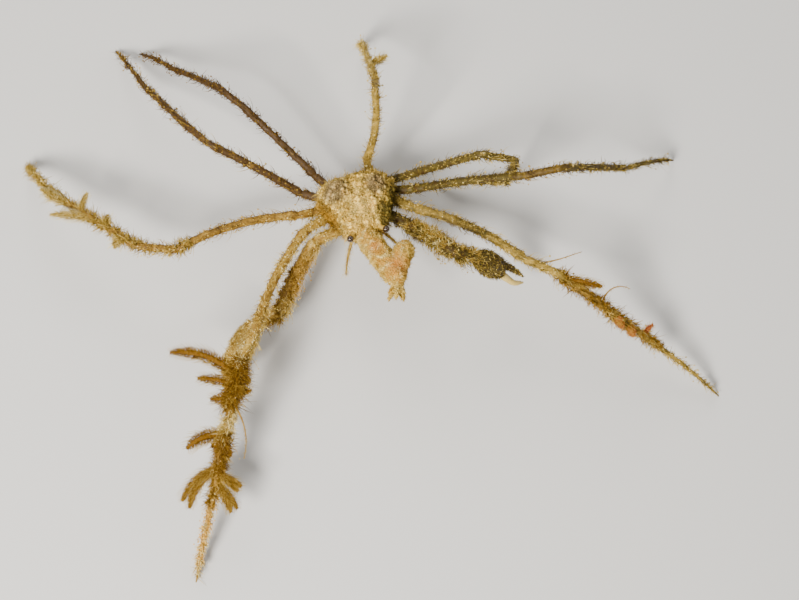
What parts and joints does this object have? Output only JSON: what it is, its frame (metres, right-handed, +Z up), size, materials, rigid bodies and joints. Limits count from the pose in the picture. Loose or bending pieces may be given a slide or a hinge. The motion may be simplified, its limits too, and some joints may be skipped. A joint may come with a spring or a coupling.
{
  "type": "weedy spider crab",
  "caption": "Small long-legged spider crab with a sponge-coated shell, a bent sponge lobe on its snout and weed on its legs, standing still on its leg tips.",
  "frame": {"origin": "on the floor under the middle of the animal's box, between the leg tips", "axes": "+Z up, the head and snout point to -Y, the animal's left side is +X"},
  "size_m": [0.1142, 0.0998, 0.0274],
  "materials": {
    "shell": "matte, granular crust of sponge and silt",
    "breast": "satin, bare and slightly shiny",
    "limb": "matte to satin, fuzzy with fine hairs and weed",
    "sponge": "matte, soft granular sponge",
    "eye": "glossy wet eye"
  },
  "bodies": {
    "root": {"abdomen": "breast", "antenna_left": "limb", "antenna_right": "limb", "carapace": "shell", "cheliped_left_arm": "limb", "cheliped_left_base": "limb", "cheliped_left_finger": "limb", "cheliped_left_hand": "limb", "cheliped_left_wrist": "limb", "cheliped_right_arm": "limb", "cheliped_right_base": "limb", "cheliped_right_finger": "limb", "cheliped_right_hand": "limb", "cheliped_right_wrist": "limb", "eye_left": "eye", "eye_right": "eye", "leg2_left_base": "limb", "leg2_left_carpus": "limb", "leg2_left_dactyl": "limb", "leg2_left_merus": "limb", "leg2_left_propodus": "limb", "leg2_right_base": "limb", "leg2_right_carpus": "limb", "leg2_right_dactyl": "limb", "leg2_right_merus": "limb", "leg2_right_propodus": "limb", "leg3_left_base": "limb", "leg3_left_carpus": "limb", "leg3_left_dactyl": "limb", "leg3_left_merus": "limb", "leg3_left_propodus": "limb", "leg3_right_base": "limb", "leg3_right_carpus": "limb", "leg3_right_dactyl": "limb", "leg3_right_merus": "limb", "leg3_right_propodus": "limb", "leg4_left_base": "limb", "leg4_left_carpus": "limb", "leg4_left_dactyl": "limb", "leg4_left_merus": "limb", "leg4_left_propodus": "limb", "leg4_right_base": "limb", "leg4_right_carpus": "limb", "leg4_right_dactyl": "limb", "leg4_right_merus": "limb", "leg4_right_propodus": "limb", "leg5_left_base": "limb", "leg5_left_carpus": "limb", "leg5_left_dactyl": "limb", "leg5_left_merus": "limb", "leg5_left_propodus": "limb", "leg5_right_base": "limb", "leg5_right_carpus": "limb", "leg5_right_dactyl": "limb", "leg5_right_merus": "limb", "leg5_right_propodus": "limb", "mouthparts": "breast", "sponge_lobe": "sponge", "sternum": "breast"}
  },
  "joints": []
}
